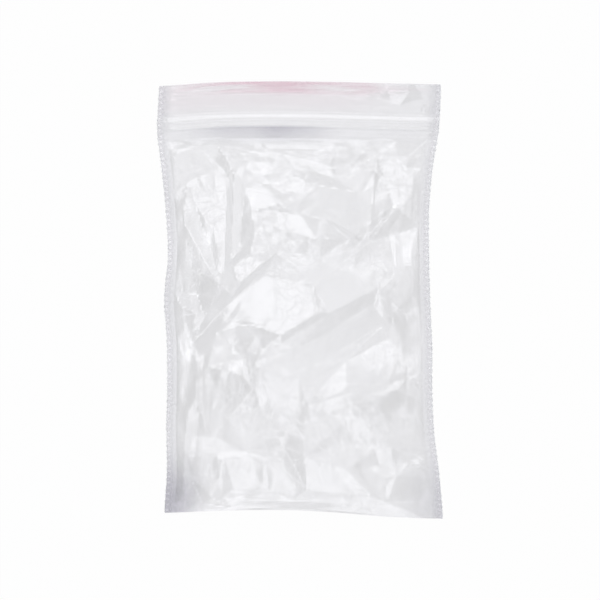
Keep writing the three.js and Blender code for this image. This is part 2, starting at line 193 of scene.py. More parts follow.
# The beads of the cut sides: stations along, corners round, and their half thickness where it
# is least, with what the bar's teeth and a finer ripple add, in millimetres. The last three are
# shares of it: how wide and high a bead is drawn out, and how far it stands out past the cut.
BEAD_STATIONS = 520
BEAD_CORNERS = 8
BEAD_LEAST = 0.07
BEAD_TOOTH = 0.11
BEAD_RIPPLE = 0.04
BEAD_RIPPLE_PITCH = 1.1
BEAD_WIDE = 1.3
BEAD_HIGH = 0.8
BEAD_OVERHANG = 0.35

# Zip and beads stop this share of their length short of the film's corners.
END_GAP = 0.002

# Soft boxes round the room: the way to each, its reach in degrees and its strength.
SOFT_BOXES = (
    ((-0.30, 0.30, 0.91), 12, 1.3),
    ((0.34, 0.40, 0.85), 10, 1.35),
    ((-0.1, -0.80, 0.59), 20, 1.4),
    ((0.75, -0.1, 0.66), 12, 0.8),
    ((0, 0.84, 0.54), 11, 1.5),
    ((-0.08, -0.43, 0.90), 9, 1.15),
)

# Lamps: name, place and size in metres, and power in watts.
LAMPS = (
    ("lamp upper left", (-0.45, 0.5, 1.1), 0.5, 0.3),
    ("lamp right", (0.6, 0.4, 1.0), 0.4, 0.15),
    ("lamp low", (-0.2, -0.95, 0.7), 0.4, 0.2),
)

# Strengths of the room's light: all round, overhead, from the upper right, the least that is
# left anywhere and along the horizon. Each box softens over so many degrees at its edge.
ROOM_GLOW = 0.15
ZENITH_GLOW = 0.71
SIDE_GLOW = 0.16
LEAST_GLOW = 0.05
HORIZON_GLOW = 0.7
BOX_EDGE = 4

# A ray may pass through this many faces of clear film.
MOST_FACES_THROUGH = 32

# The floor in metres, how far it lies under the bag, and what share of it is plain white.
FLOOR_SIZE = 6
FLOOR_GAP = 0.0001
FLOOR_WHITE = 0.97

# The camera stands this high in metres, and its frame is so many pixels of so many metres wide.
# Its sensor is in millimetres.
CAMERA_HEIGHT = 1.0
FRAME_PIXELS = 600
PIXEL = 0.357 * MM
SENSOR_WIDTH = 36


class BagSettings(bpy.types.PropertyGroup):
    """Sizes and colours of the bag and its light"""

    width: FloatProperty(name="Width", description="Flat width of the bag",
                         default=100 * MM, unit="LENGTH")
    height: FloatProperty(name="Height", description="Flat height, from bottom fold to mouth",
                          default=153 * MM, unit="LENGTH")
    film: FloatProperty(name="Film", description="Thickness of the film",
                        default=0.05 * MM, unit="LENGTH")
    weld_width: FloatProperty(name="Weld width", description="Width of each fused side strip",
                              default=3.5 * MM, unit="LENGTH")
    weld_thickness: FloatProperty(name="Weld thickness", description="The two films fused",
                                  default=0.12 * MM, unit="LENGTH")
    lip_length: FloatProperty(name="Lip length", description="From the mouth to the zip's band",
                              default=12.2 * MM, unit="LENGTH")
    lip_gap: FloatProperty(name="Lip gap", description="How far the lips part at the mouth",
                           default=0.5 * MM, unit="LENGTH")
    band_width: FloatProperty(name="Zip band", description="Width of the zip's thickened band",
                              default=4.4 * MM, unit="LENGTH")
    zip_depth: FloatProperty(name="Zip depth", description="Between the films at the zip",
                             default=1.2 * MM, unit="LENGTH")
    puff: FloatProperty(name="Puff", description="Height that the air gives the bag",
                        default=8 * MM, unit="LENGTH")
    cell: FloatProperty(name="Cell", description="Size of the film's mesh cells",
                        default=0.66 * MM, unit="LENGTH")
    seed: IntProperty(name="Seed", description="Seed of the chance crumples", default=7)
    film_colour: FloatVectorProperty(name="Film colour", description="Milky haze of the film",
                                     default=(0.66, 0.66, 0.70), subtype="COLOR", size=3)
    # The weld colour is also the colour of the painted shade under the zip and in the low corners.
    weld_and_painted_shade_colour: FloatVectorProperty(name="Weld colour", description="Haze of the fused strips",
                                     default=(0.44, 0.42, 0.52), subtype="COLOR", size=3)
    stripe_colour: FloatVectorProperty(name="Stripe colour", description="Tint of the lip",
                                       default=(0.98, 0.18, 0.42), subtype="COLOR", size=3)


# The plan of the bag and how its films stand


def smooth(value, low, high):
    """0 below low, 1 above high, and a smooth step between."""
    t = np.clip((value - low) / (high - low), 0, 1)
    return t * t * (3 - 2 * t)


def spline(values, t):
    """A Catmull-Rom curve through values at even steps, read at t from 0 to 1."""
    v = np.array(values, float)
    at = np.clip(t, 0, 1) * (len(v) - 1)
    i = np.minimum(at.astype(int), len(v) - 2)
    w = at - i
    p0 = v[np.maximum(i - 1, 0)]
    p1 = v[i]
    p2 = v[i + 1]
    p3 = v[np.minimum(i + 2, len(v) - 1)]
    a = (p2 - p0) / 2
    b = (p3 - p1) / 2
    return (2 * p1 - 2 * p2 + a + b) * w**3 + (-3 * p1 + 3 * p2 - 2 * a - b) * w**2 + a * w + p1


class Bag:
    """The bag's form in millimetres, at shares u across and v up its flat outline."""

    # The zip's band on each film, how far it runs out below, and how flat the welds crush it.
    band_thickness = 0.14
    flare = 3
    crushed = 0.35

    # How high the seam between the films stands at the sides, the bottom and the mouth.
    side_lift = 2.8
    bottom_lift = 0.9
    mouth_lift = 1.1

    # How far the side seams wave up and down, and how many waves there are.
    ripple = 0.45
    ripples = 4

    # How far the back film would sag below its seam if the floor didn't hold it.
    back_sag = 4.6

    # Fine ridges over the zip's track and along the lip: where, half width and rise. The track's
    # are given from the zip's middle and the lip's from the mouth.
    track_ridges = ((-0.9, 0.5, 0.08), (0.2, 0.6, 0.10), (1.3, 0.7, 0.12))
    lip_ridges = ((3.3, 0.45, 0.15), (4.4, 0.45, 0.13), (8.2, 0.6, 0.06), (10.6, 0.45, 0.12))

    def __init__(self, settings):
        self.width = settings.width / MM
        self.height = settings.height / MM
        self.weld = settings.weld_width / settings.width
        self.seal = settings.weld_thickness / MM / 2
        self.lip = settings.lip_length / MM
        self.lip_gap = settings.lip_gap / MM
        self.band = settings.band_width / MM
        self.zip_depth = settings.zip_depth / MM
        self.puff = settings.puff / MM
        self.zip_line = self.lip + self.band / 2
        self.body_top = self.height - self.lip - self.band - self.flare
        steps = np.linspace(0, 1, 200)
        places = np.array(self.plan(steps[:, None], steps[None]))
        self.middle = (places.min(axis=(1, 2)) + places.max(axis=(1, 2))) / 2

    def plan(self, u, v):
        """Where the film lies, seen from above."""
        sideways = spline(LEFT_WAVE, v) * (1 - u) - spline(RIGHT_WAVE, v) * u
        upward = spline(BOTTOM_WAVE, u) * (1 - v) - spline(MOUTH_WAVE, u) * v
        return (u - 0.5) * self.width + sideways, (v - 0.5) * self.height + upward

    def across(self, u):
        """0 at the side welds, 1 midway between them."""
        return np.sin(np.pi * np.clip((u - self.weld) / (1 - 2 * self.weld), 0, 1))

    def along(self, v):
        """0 at the bottom fold and from the zip on, 1 midway between them."""
        return np.sin(np.pi * np.clip(v * self.height / self.body_top, 0, 1))

    def rim(self, v):
        """How high the seam between the films stands."""
        ends = self.bottom_lift + (self.mouth_lift - self.bottom_lift) * v
        ripple = self.ripple * np.sin(2 * np.pi * self.ripples * v)
        return ends + (self.side_lift - ends + ripple) * self.along(v) ** 0.8

    def pillow(self, u, v):
        """How far the air parts the films, from 0 at the rim to 1 in the middle."""
        return self.across(u) ** 0.75 * self.along(v) ** 0.6

    def near_zip(self, v):
        """1 over the zip's band, running out quickly above it and slowly below."""
        depth = (1 - v) * self.height
        below = smooth(depth - self.zip_line - self.band / 2, 0, self.flare)
        return smooth(depth - self.lip, -0.8, 0.8) * (1 - below)

    def ridges(self, v):
        """What the zip's track and the lip's fine beads raise on the front film."""
        depth = (1 - v) * self.height
        track = [(self.zip_line + offset, half, rise) for offset, half, rise in self.track_ridges]
        raised = 0.0
        for centre, half, rise in (*track, *self.lip_ridges):
            raised = raised + rise * (1 - smooth(np.abs(depth - centre), 0, half))
        return raised

    def flattening(self, u):
        """The share of its full depth that the zip keeps, less where the welds crush it."""
        in_weld = np.clip(np.minimum(u, 1 - u) / self.weld, 0, 1)
        return self.crushed + (1 - self.crushed) * in_weld

    def half_build(self, u, v):
        """Half the distance between the films' outer faces, before the air lifts them."""
        near = self.near_zip(v) * self.flattening(u)
        above = np.clip(1 - (1 - v) * self.height / self.lip, 0, 1)
        zip_half = self.zip_depth / 2 + self.band_thickness
        lips = self.lip_gap / 2 * np.sqrt(self.across(u)) * above
        return self.seal + (zip_half - self.seal) * near + lips

    def room(self, u, v, margin):
        """0 at the welds, the bottom fold and the zip, 1 a margin away from them."""
        to_weld = (np.minimum(u, 1 - u) - self.weld) * self.width
        to_zip = self.body_top - v * self.height
        return np.clip(np.minimum(np.minimum(to_weld, v * self.height), to_zip) / margin, 0, 1)


# Creases


def facets(stations, edges, x, y):
    """Heights at x, y of flat facets that span the stations (x, y, rise) and keep the edges."""
    points = [Vector(station[:2]) for station in stations]
    corners, _, triangles, origins, *_ = delaunay_2d_cdt(points, edges, [], 0, 1e-4)
    rises = []
    for corner, from_points in zip(corners, origins):
        if from_points:
            rises.append(stations[from_points[0]][2])
        else:
            distance = [(corner - point).length for point in points]
            rises.append(stations[int(np.argmin(distance))][2])
    height = np.zeros_like(x)
    for triangle in triangles:
        (ax, ay), (bx, by), (cx, cy) = [corners[k][:] for k in triangle]
        area = (bx - ax) * (cy - ay) - (cx - ax) * (by - ay)
        if abs(area) < 1e-6:
            continue
        near = ((x >= min(ax, bx, cx)) & (x <= max(ax, bx, cx))
                & (y >= min(ay, by, cy)) & (y <= max(ay, by, cy)))
        px, py = x[near], y[near]
        wb = ((px - ax) * (cy - ay) - (cx - ax) * (py - ay)) / area
        wc = ((bx - ax) * (py - ay) - (px - ax) * (by - ay)) / area
        wa = 1 - wb - wc
        inside = (wa >= -1e-6) & (wb >= -1e-6) & (wc >= -1e-6)
        rise = wa * rises[triangle[0]] + wb * rises[triangle[1]] + wc * rises[triangle[2]]
        height[near] = np.where(inside, rise, height[near])
    return height


def scatter(rng, spacing, spread, reach):
    """Stations on a shaken grid, with chance rises up to spread either way."""
    stations = []
    for gx in np.arange(-reach[0], reach[0] + spacing, spacing):
        for gy in np.arange(-reach[1], reach[1] + spacing, spacing):
            jx, jy = rng.uniform(-SHAKE, SHAKE, 2) * spacing
            stations.append((gx + jx, gy + jy, rng.uniform(-spread, spread)))
    return stations


def plate_corners(corners, rise, slope, side):
    """The corners of a plate as a closed path, each with its rise."""
    middle = np.mean(corners, axis=0)
    down = np.array((np.cos(np.radians(side)), np.sin(np.radians(side))))
    path = []
    for corner in corners:
        lower = (np.array(corner) - middle) @ down * np.tan(np.radians(slope))
        path.append((*corner, rise - lower))
    return (*path, path[0])


def in_plates(x, y):
    """1 inside the named plates, 0 outside them."""
    inside = np.zeros_like(x)
    for corners, *_ in PLATES.values():
        odd = np.zeros(x.shape, bool)
        for (ax, ay), (bx, by) in zip(corners, corners[1:] + corners[:1]):
            if ay != by:
                side = x < ax + (y - ay) / (by - ay) * (bx - ax)
                odd ^= side & ((ay > y) != (by > y))
        inside[odd] = 1
    return inside


def named_creases(rng, reach):
    """Chosen plates and creases as stations and edges, with chance stations between them."""
    stations = []
    edges = []
    paths = [plate_corners(*plate) for plate in PLATES.values()] + list(CREASES.values())
    for path in paths:
        for k, station in enumerate(path):
            if station in stations:
                index = stations.index(station)
            else:
                index = len(stations)
                stations.append(station)
            if k:
                edges.append((previous, index))
            previous = index
    chosen = np.array([station[:2] for station in stations])
    chance = scatter(rng, PLAIN_SPACING, PLAIN_RISE, reach)
    taken = in_plates(*np.array(chance).T[:2])
    for station, in_plate in zip(chance, taken):
        if not in_plate and np.hypot(*(chosen - station[:2]).T).min() > PLAIN_CLEARANCE:
            stations.append(station)
    return stations, edges


def soften(field, times):
    """Rounds a grid of heights a little, without moving its edge."""
    for _ in range(times):
        inner = field[1:-1] / 2 + (field[:-2] + field[2:]) / 4
        field[1:-1] = inner
        inner = field[:, 1:-1] / 2 + (field[:, :-2] + field[:, 2:]) / 4
        field[:, 1:-1] = inner
    return field


def crumple(rng, x, y, reach, spacing, spread, angle=0.0, stretch=1.0):
    """A net of chance facets, drawn out by stretch along a line at angle to the x axis."""
    turn = np.radians(angle)
    along = (x * np.cos(turn) + y * np.sin(turn)) / stretch
    aside = y * np.cos(turn) - x * np.sin(turn)
    far = np.hypot(*reach)
    return facets(scatter(rng, spacing, spread, (far / stretch, far)), [], along, aside)


def spot(x, y, centre, size):
    """1 at the centre of an oval region, 0 from its rim on."""
    return 1 - smooth(np.hypot((x - centre[0]) / size[0], (y - centre[1]) / size[1]), 0.3, 1)


def crumpled_region(rng, x, y, reach, centre, size, *net):
    """A net of chance facets in an oval region alone."""
    return crumple(rng, x, y, reach, *net) * spot(x, y, centre, size)


def film_heights(bag, u, v, seed):
    """Front and back film, as heights of their outer faces."""
    rng = np.random.default_rng(seed)
    x, y = bag.plan(u, v)
    reach = (bag.width / 2, bag.height / 2)
    stations, edges = named_creases(rng, reach)
    creased = facets(stations, edges, x, y)
    chance = crumple(rng, x, y, reach, *PLAIN_CRUMPLES)
    for region in CRUMPLED:
        chance += crumpled_region(rng, x, y, reach, *region)
    creased += CRUMPLE_SHARE * chance * (1 - PLATE_CALM * soften(in_plates(x, y), 2))
    front_air = (bag.puff - bag.side_lift) * bag.pillow(u, v)
    front = bag.rim(v) + bag.half_build(u, v) + front_air
    front += creased * bag.room(u, v, 3) + bag.ridges(v) * smooth(bag.across(u), 0, 0.1)
    lip = smooth(v * bag.height, bag.height - bag.lip + 1, bag.height - bag.lip + 4)
    lip_folds = crumple(rng, x, y, reach, *LIP_FOLDS)
    lip_folds += crumpled_region(rng, x, y, reach, *LIP_CRUMPLE)
    front += np.maximum(lip_folds, 0) * lip * smooth(bag.across(u), 0, 0.1)
    back = bag.rim(v) - bag.half_build(u, v) - bag.back_sag * bag.pillow(u, v)
    back_folds = crumple(rng, x, y, reach, *BACK_FOLDS)
    back_folds += crumple(rng, x, y, reach, *BACK_CRUMPLES)
    back = np.maximum(back, 0) + np.maximum(soften(back_folds, 2), 0) * bag.room(u, v, 6)
    back = np.maximum(back, 0)
    front = np.maximum(front, back + 2 * bag.seal)
    return front, back


def stations_across(bag, cell):
    """Columns from side to side, with four of them over each weld."""
    inner = np.linspace(bag.weld, 1 - bag.weld, round(bag.width * (1 - 2 * bag.weld) / cell) + 1)
    weld = np.linspace(0, bag.weld, 5)[:-1]
    return np.concatenate([weld, inner, 1 - weld[::-1]])


def stations_up(bag, cell):
    """Rows from the bottom fold to the mouth, closer together over the zip."""
    upper = np.linspace(bag.body_top, bag.height, round((bag.height - bag.body_top) / ZIP_ROW))
    body = np.linspace(0, bag.body_top, round(bag.body_top / cell))[:-1]
    return np.concatenate([body, upper]) / bag.height


# Meshes, made and shaped with Blender's own operators


def select_only(*objects):
    """Selects these objects alone, with the first of them active."""
    bpy.ops.object.select_all(action="DESELECT")
    for piece in objects:
        piece.select_set(True)
    bpy.context.view_layer.objects.active = objects[0]


def film_grid(name, columns, rows, positions):
    """A grid of columns by rows whose vertices take the positions [row, column]."""
    bpy.ops.object.select_all(action="DESELECT")
    bpy.ops.mesh.primitive_grid_add(x_subdivisions=columns - 1, y_subdivisions=rows - 1, size=2)
    grid = bpy.context.object
    grid.name = name
    count = len(grid.data.vertices)
    place = np.zeros(count * 3)
    grid.data.vertices.foreach_get("co", place)
    place = place.reshape(-1, 3)
    column = np.rint((place[:, 0] + 1) / 2 * (columns - 1)).astype(int)
    row = np.rint((place[:, 1] + 1) / 2 * (rows - 1)).astype(int)
    grid.data.vertices.foreach_set("co", (positions[row, column] * MM).ravel())
    return grid, row, column


def add_flat_map(grid, row, column, u, v):
    """A UV map of the flat bag: u across it, v from the bottom fold to the mouth."""
    layer = grid.data.uv_layers.new(name="flat")
    corner = np.zeros(len(grid.data.loops), int)
    grid.data.loops.foreach_get("vertex_index", corner)
    flat = np.stack([u[column[corner]], v[row[corner]]], axis=1)
    layer.data.foreach_set("uv", flat.ravel())


def swept_bar(name, sections):
    """A closed bar through sections [station, point], its seam merged and its ends filled."""
    ring = np.concatenate([sections, sections[:, :1]], axis=1)
    bar, row, column = film_grid(name, ring.shape[1], ring.shape[0], ring)
    bpy.ops.object.mode_set(mode="EDIT")
    bpy.ops.mesh.select_all(action="SELECT")
    bpy.ops.mesh.remove_doubles(threshold=1e-7)
    bpy.ops.mesh.fill_holes(sides=0)
    bpy.ops.mesh.normals_make_consistent(inside=False)
    bpy.ops.object.mode_set(mode="OBJECT")
    return bar


def finish_piece(piece, smooth_angle=None):
    """Shades a piece smooth, up to an angle if one is given, and ties it to the frame."""
    select_only(piece)
    if smooth_angle is None:
        bpy.ops.object.shade_smooth()
    else:
        bpy.ops.object.shade_smooth_by_angle(angle=smooth_angle)
    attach(piece, "root")


# Materials


class Socket:
    """A node's socket, in an expression that adds Math nodes."""

    def __init__(self, tree, socket):
        self.tree = tree
        self.socket = socket

    def math(self, operation, other=0.0, turned=False):
        pair = (other, self) if turned else (self, other)
        return self.tree.add("Math", {"operation": operation}, {0: pair[0], 1: pair[1]})

    def __add__(self, other):
        return self.math("ADD", other)

    def __sub__(self, other):
        return self.math("SUBTRACT", other)

    def __rsub__(self, other):
        return self.math("SUBTRACT", other, turned=True)

    def __mul__(self, other):
        return self.math("MULTIPLY", other)

    def __truediv__(self, other):
        return self.math("DIVIDE", other)

    def __pow__(self, other):
        return self.math("POWER", other)

    __radd__ = __add__
    __rmul__ = __mul__

    def least(self, other):
        return self.math("MINIMUM", other)

    def most(self, other):
        return self.math("MAXIMUM", other)

    def step(self, low, high):
        """0 below low, 1 above high, smooth between."""
        return self.tree.add("MapRange", {"interpolation_type": "SMOOTHSTEP"},
                             {"Value": self, "From Min": low, "From Max": high})

    def bump(self, centre, half):
        """1 at centre, falling to 0 half away on either side."""
        off = (self - centre).math("ABSOLUTE")
        return 1 - off.step(0, half)


# Which output of Texture Coordinate is Object, and of Layer Weight is Facing.
OBJECT_SPACE = 3
FACING = 1


class Nodes:
    """A node tree that is built up by expressions."""

    def __init__(self, owner):
        owner.use_nodes = True
        self.owner = owner
        self.nodes = owner.node_tree.nodes
        self.links = owner.node_tree.links
        self.nodes.clear()

    def add(self, kind, settings=None, inputs=None, output=0):
        """Adds a node: its settings first, then the values or links of its inputs."""
        node = self.nodes.new("ShaderNode" + kind)
        for name, value in (settings or {}).items():
            setattr(node, name, value)
        for name, value in (inputs or {}).items():
            if isinstance(value, Socket):
                self.links.new(value.socket, node.inputs[name])
            else:
                node.inputs[name].default_value = value
        if output is None:
            return None
        return Socket(self, node.outputs[output])

    def mix_colour(self, factor, a, b):
        settings = {"data_type": "RGBA"}
        inputs = {"Factor": factor, 6: a, 7: b}
        return self.add("Mix", settings, inputs, output=2)

    def stretched(self, vector, scale):
        """A vector times a scale of its own along each axis."""
        return self.add("VectorMath", {"operation": "MULTIPLY"}, {0: vector, 1: scale})

    def flat_noise(self, vector, scale, detail=1, output=0):
        """Noise over the flat film, in millimetres; output 1 is its colour."""
        inputs = {"Vector": vector, "Scale": scale, "Detail": detail}
        return self.add("TexNoise", {"noise_dimensions": "2D"}, inputs, output)

    def grain(self, scale):
        """Fine noise through the solid plastic, in the piece's own space."""
        place = self.add("TexCoord", None, None, output=OBJECT_SPACE)
        return self.add("TexNoise", None, {"Vector": place, "Scale": scale, "Detail": 1})

    def glance(self):
        """0 seen head on, 1 where the surface is seen edge on."""
        facing = self.add("LayerWeight", None, {"Blend": 0.5}, output=FACING)
        return facing ** 5

    def finish(self, shader, output="OutputMaterial"):
        self.add(output, None, {"Surface": shader}, output=None)
        return self.owner

    def over_clear(self, factor, surface, tint=(1, 1, 1)):
        """Ends the material with the surface, by its factor, over what can be seen through."""
        clear = self.add("BsdfTransparent", None, {"Color": rgba(tint)})
        return self.finish(self.add("MixShader", None, {0: factor, 1: clear, 2: surface}))


def new_material(name):
    """A material without nodes yet."""
    return Nodes(bpy.data.materials.new(name))


def rgba(colour):
    """A colour with full alpha."""
    return (*colour, 1)


class FlatFilm:
    """Where a point lies on the flat bag, in millimetres, as sockets of a material."""

    def __init__(self, m, settings):
        width = settings.width / MM
        height = settings.height / MM
        flat = m.add("UVMap", {"uv_map": "flat"})
        u = m.add("SeparateXYZ", None, {0: flat})
        v = Socket(m, u.socket.node.outputs[1])
        self.place = m.stretched(flat, (width, height, 1))
        self.across = (u - 0.5) * width
        self.edge = (0.5 - (u - 0.5).math("ABSOLUTE")) * width
        self.up = v * height
        self.depth = (1 - v) * height
        self.notch = (v * (height * np.pi / TOOTH_PITCH)).math("SINE") ** 2
        self.weld_width = settings.weld_width / MM


def tint_of_lip(film, streak, weld):
    """How much pigment the lip holds: a streaky stripe at the mouth, and a blush below it."""
    stripe = (1 - film.depth.step(2.0, 5.2)) * film.depth.step(-0.2, 0.5)
    fading = film.across.step(-50, -22) * (1 - film.across.step(18, 34)).most(0.2)
    blush = 0.14 * (1 - film.depth.step(6, 13)) * (1 - film.across.step(10, 40))
    return (stripe * streak.step(0.3, 0.75) * fading + blush) * (1 - weld * 0.6)


def kinked(m, film, cloud, streak):
    """Heights of the film's kinks: folds of three sizes, fine lines, and streaks along the lip."""
    warp = m.flat_noise(film.place, 0.12, output=1)
    warping = {0: warp, 1: (7, 7, 0), 2: film.place}
    warped = m.add("VectorMath", {"operation": "MULTIPLY_ADD"}, warping)
    cells = {"voronoi_dimensions": "2D", "distance": "MANHATTAN"}
    folds = m.add("TexVoronoi", cells, {"Vector": warped, "Scale": 0.11})
    small_folds = m.add("TexVoronoi", cells, {"Vector": warped, "Scale": 0.26})
    fine_folds = m.add("TexVoronoi", cells, {"Vector": warped, "Scale": 0.6})
    lines_place = m.stretched(warped, (0.5, 1, 1))
    lines = m.add("TexVoronoi", {"voronoi_dimensions": "2D", "feature": "DISTANCE_TO_EDGE"},
                  {"Vector": lines_place, "Scale": 0.28})
    crisp = cloud.step(0.42, 0.6)
    relief = folds * 0.17 + small_folds * (0.04 + 0.1 * crisp) + fine_folds * 0.045 * crisp
    relief = relief + (1 - lines.step(0, 0.07)) * (0.015 + 0.045 * crisp)
    return relief * film.depth.step(18, 24) + streak * 0.5 * (1 - film.depth.step(10, 11.5))


def film_material(settings):
    """Clear film: a mirror of a few hundredths head on, a faint haze, and what lies behind it."""
    m = new_material("clear film")
    film = FlatFilm(m, settings)
    cloud = m.flat_noise(film.place, 0.05)
    streak = m.flat_noise(m.stretched(film.place, (0.035, 0.5, 1)), 1, detail=2)

    # The fused strips are grainy, and the sealing bar's teeth shine along their edges.
    weld = 1 - film.edge.step(film.weld_width * 0.2, film.weld_width * 1.7)
    weld_grain = m.flat_noise(film.place, 1.3)
    tooth = film.notch.step(0.5, 0.85) * film.edge.bump(0.8, 0.9)
    mirror = MIRROR + (1 - MIRROR) * m.glance() + 0.3 * tooth

    # Painted shade: more haze, in the weld colour, darkens a band just under the zip and the low
    # corners.
    painted_shade_under_zip = film.depth.step(15.4, 16.4) * (1 - film.depth.step(17, 24)) * (0.5 + cloud)
    painted_shade_under_zip = painted_shade_under_zip * film.edge.step(2, 6) * (0.15 + 0.85 * film.across.bump(-12, 32))
    # Painted shade in the low corners, stronger in the left one.
    painted_corner_shade = (1 - film.edge.step(4, 18)) * (1 - film.up.step(5, 26))
    painted_corner_shade = painted_corner_shade * (0.4 + 0.6 * film.across.step(40, -60))
    # One mask for the welds and for the painted shade, which both take the weld colour.
    weld_and_painted_shade_mask = weld.most(painted_shade_under_zip.step(0, 0.5)).most(painted_corner_shade)

    haze = 0.004 + 0.012 * cloud + weld * (0.04 + 0.10 * weld_grain) * (1 - tooth)
    # The painted shade under the zip and in the low corners adds haze here, and the lip is a little
    # hazier.
    haze = haze + 0.3 * painted_shade_under_zip + 0.28 * painted_corner_shade + 0.03 * (1 - film.depth.step(10.5, 12))
    pigment = tint_of_lip(film, streak, weld) * 0.17
    factor = mirror + haze + pigment

    body = m.mix_colour(weld_and_painted_shade_mask, rgba(settings.film_colour), rgba(settings.weld_and_painted_shade_colour))
    share = (pigment / (haze + pigment)).least(1)
    milk = m.mix_colour(share, body, rgba(settings.stripe_colour))
    colour = m.mix_colour(mirror / factor, milk, rgba(MIRROR_COLOUR))
    relief = kinked(m, film, cloud, streak) * (1 - weld)
    normal = m.add("Bump", None, {"Strength": 1.0, "Distance": MM, "Height": relief})
    surface = m.add("BsdfPrincipled", None, {
        "Base Color": colour, "Metallic": mirror / factor, "IOR": 1.5, "Normal": normal,
        "Roughness": MIRROR_ROUGHNESS + weld * 0.25,
    })
    return m.over_clear(factor.least(1), surface, CLEAR_TINT)


def inner_material():
    """The film's inner face, which only mirrors a little."""
    m = new_material("film inside")
    surface = m.add("BsdfPrincipled", None, {
        "Base Color": rgba((0.95, 0.95, 0.96)), "Metallic": 0.95, "Roughness": MIRROR_ROUGHNESS,
    })
    return m.over_clear(MIRROR + (1 - MIRROR) * m.glance(), surface, CLEAR_TINT)


def zip_material():
    """The zip's solid plastic, milkier than the film where it is thick."""
    m = new_material("zip plastic")
    grain = m.grain(900)
    surface = m.add("BsdfPrincipled", None, {
        "Base Color": rgba((0.93, 0.93, 0.95)), "Metallic": 0.1, "Roughness": 0.2 + 0.1 * grain,
    })
    return m.over_clear(0.008 + 0.012 * grain + 0.2 * m.glance(), surface)


def bead_material():
    """Melted film along the cuts: clouded, and more mirror-like where its grain is strong."""
    m = new_material("melted film")
    grain = m.grain(1100)
    surface = m.add("BsdfPrincipled", None, {
        "Base Color": rgba((0.97, 0.97, 1.0)), "Metallic": 0.9, "Roughness": 0.2 + 0.2 * grain,
    })
    return m.over_clear(0.08 + 0.4 * grain.step(0.4, 0.7), surface)


# Operators, one for each piece and one for the stage


class BAG_OT_film(bpy.types.Operator):
    """Make the bag's film: front and back, welds, bottom fold and lips"""

    bl_idname = "bag.film"
    bl_label = "Make the film"

    def execute(self, context):
        settings = context.scene.bag
        bag = Bag(settings)
        cell = settings.cell / MM
        u = stations_across(bag, cell)
        v = stations_up(bag, cell)
        grid_u, grid_v = np.meshgrid(u, v)
        x, y = bag.plan(grid_u, grid_v)
        x = x - bag.middle[0]
        y = y - bag.middle[1]
        front, back = film_heights(bag, grid_u, grid_v, settings.seed)
        layers = []
        for name, height in (("bag_film", front), ("back_film", back)):
            grid, row, column = film_grid(name, len(u), len(v), np.stack([x, y, height], axis=2))
            add_flat_map(grid, row, column, u, v)
            layers.append(grid)
        film, back_film = layers
        select_only(back_film)
        bpy.ops.object.mode_set(mode="EDIT")
        bpy.ops.mesh.select_all(action="SELECT")
        bpy.ops.mesh.flip_normals()
        bpy.ops.mesh.region_to_loop()
        bpy.ops.mesh.select_more()
        bpy.ops.mesh.select_all(action="INVERT")
        bpy.ops.mesh.decimate(ratio=BACK_SHARE)
        bpy.ops.object.mode_set(mode="OBJECT")
        select_only(film, back_film)
        bpy.ops.object.join()
        self.close_rim(film)
        shell = film.modifiers.new("film", "SOLIDIFY")
        shell.thickness = settings.film
        shell.offset = -1
        shell.material_offset = 1
        shell.material_offset_rim = 0
        film.data.materials.append(film_material(settings))
        film.data.materials.append(inner_material())
        select_only(film)
        bpy.ops.object.modifier_apply(modifier=shell.name)
        finish_piece(film, smooth_angle=CREASE_ANGLE)
        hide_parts("film_bag")
        return {"FINISHED"}

    def close_rim(self, film):
        """Bridges the front to the back down both sides and along the bottom."""
        select_only(film)
        bpy.ops.object.mode_set(mode="EDIT")
        bpy.ops.mesh.select_all(action="DESELECT")
        bpy.ops.mesh.select_mode(type="EDGE")
        bpy.ops.object.mode_set(mode="OBJECT")
        mesh = film.data
        flat = np.zeros(len(mesh.loops) * 2)
        mesh.uv_layers["flat"].data.foreach_get("uv", flat)
        flat = flat.reshape(-1, 2)
        at = np.zeros((len(mesh.vertices), 2))
        corner = np.zeros(len(mesh.loops), int)
        mesh.loops.foreach_get("vertex_index", corner)
        at[corner] = flat
        ends = np.zeros(len(mesh.edges) * 2, int)
        mesh.edges.foreach_get("vertices", ends)
        ends = ends.reshape(-1, 2)
        both = at[ends]
        left = (both[:, :, 0] < 1e-6).all(axis=1)
        right = (both[:, :, 0] > 1 - 1e-6).all(axis=1)
        bottom = (both[:, :, 1] < 1e-6).all(axis=1)
        mesh.edges.foreach_set("select", left | right | bottom)
        bpy.ops.object.mode_set(mode="EDIT")
        bpy.ops.mesh.bridge_edge_loops()
        bpy.ops.object.mode_set(mode="OBJECT")


